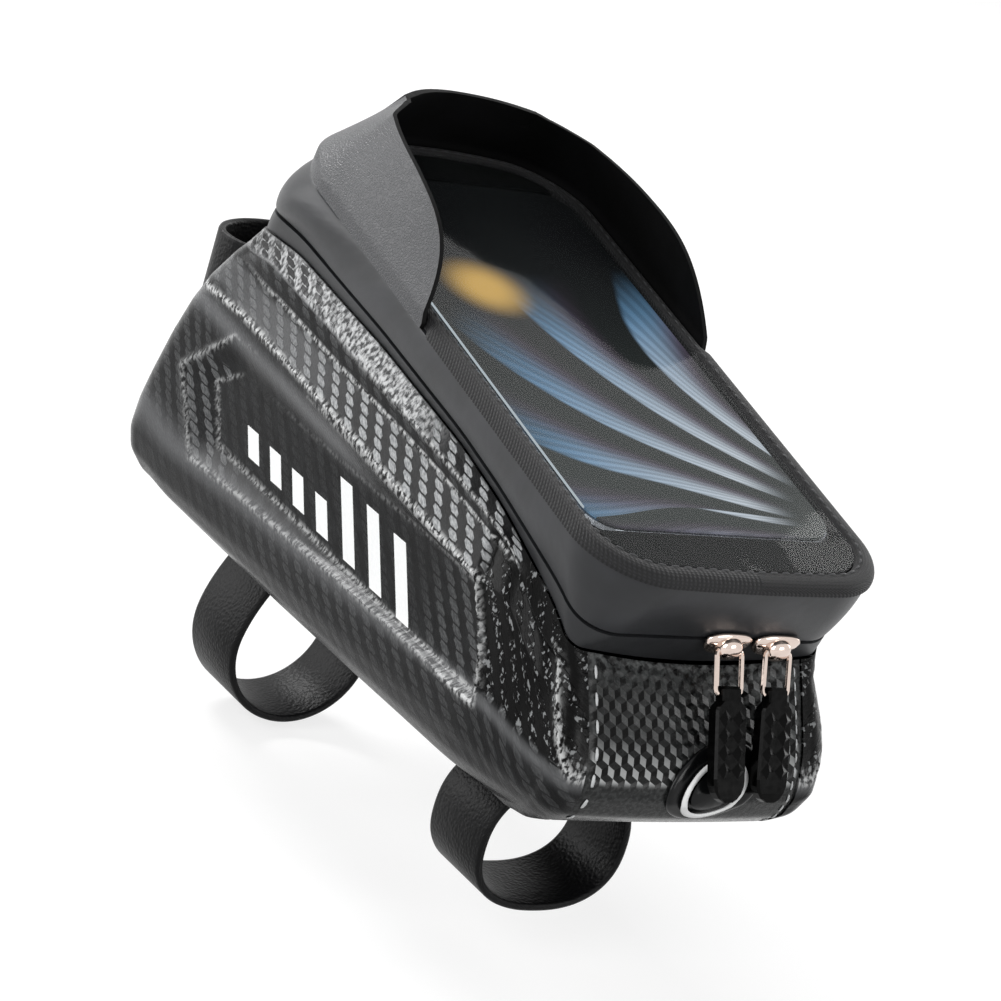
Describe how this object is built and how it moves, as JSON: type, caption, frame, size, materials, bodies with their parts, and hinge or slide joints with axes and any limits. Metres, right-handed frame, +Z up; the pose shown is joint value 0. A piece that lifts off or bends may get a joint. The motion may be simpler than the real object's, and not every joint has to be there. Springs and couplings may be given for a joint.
{
  "type": "top tube phone bag",
  "caption": "Hard moulded bicycle frame bag with a sloping clear phone lid, sun visor, zip round the lid with pull tabs, and strap loops for the top tube and head tube.",
  "frame": {"origin": "on the flat underside that rests on the top tube, midway between the sides and near the middle of its length", "axes": "+Z up, square to the underside; +Y forward, towards the handlebar; +X to the rider's right"},
  "size_m": [0.098, 0.2734, 0.1939],
  "materials": {
    "shell": "moulded foam under an embossed carbon-look film",
    "panel": "cloth with an embossed coating of small cubes",
    "satin_cloth": "satin coated cloth",
    "binding": "woven edge binding, stitched",
    "coil": "nylon zip coil",
    "window": "clear soft film",
    "lining": "black lining over a stiff sheet",
    "phone_frame": "anodised",
    "phone_screen": "polished, lit with an abstract picture",
    "visor": "grained outside, matte black inside",
    "slider": "plated, polished",
    "puller": "moulded with pyramid studs",
    "port": "smooth moulded",
    "ring": "white, satin",
    "strap": "black with a pebbled coating"
  },
  "bodies": {
    "bag": {"shell_left": "shell", "shell_right": "shell", "centre_panel": "panel", "gusset_lower": "satin_cloth", "zip_coil_lower": "coil", "cable_patch": "port", "cable_ring": "ring", "cable_plug": "port", "strap_near": "strap", "keeper_near": "strap", "strap_far": "strap", "keeper_far": "strap", "strap_head": "strap", "keeper_head": "strap"},
    "lid": {"gusset_upper": "satin_cloth", "zip_coil_upper": "coil", "lid_binding": "binding", "lid_window": "window", "margin_near": "satin_cloth", "margin_far": "satin_cloth", "phone_tray": "lining", "phone": "phone_frame", "phone_display": "phone_screen", "visor": "visor"},
    "zip_slider_1": {"slider_1": "slider"},
    "zip_slider_2": {"slider_2": "slider"},
    "pull_tab_1": {"bail_1": "slider", "puller_1": "puller"},
    "pull_tab_2": {"bail_2": "slider", "puller_2": "puller"}
  },
  "joints": [
    {"name": "lid_hinge", "type": "hinge", "parent": "bag", "child": "lid", "pos_m": [0, 0.09044, 0.0968], "axis": [-1, 0, 0], "range_deg": [0, 105]},
    {"name": "slider_1_run", "type": "slide", "parent": "bag", "child": "zip_slider_1", "axis": [1, 0, 0], "range_m": [-0.023, 0]},
    {"name": "slider_2_run", "type": "slide", "parent": "bag", "child": "zip_slider_2", "axis": [1, 0, 0], "range_m": [0, 0.007]},
    {"name": "pull_tab_1_swing", "type": "hinge", "parent": "zip_slider_1", "child": "pull_tab_1", "pos_m": [0.0035, -0.10524, 0.0554], "axis": [-1, 0, 0], "range_deg": [0, 110]},
    {"name": "pull_tab_2_swing", "type": "hinge", "parent": "zip_slider_2", "child": "pull_tab_2", "pos_m": [0.019, -0.10524, 0.0554], "axis": [-1, 0, 0], "range_deg": [0, 110]}
  ]
}
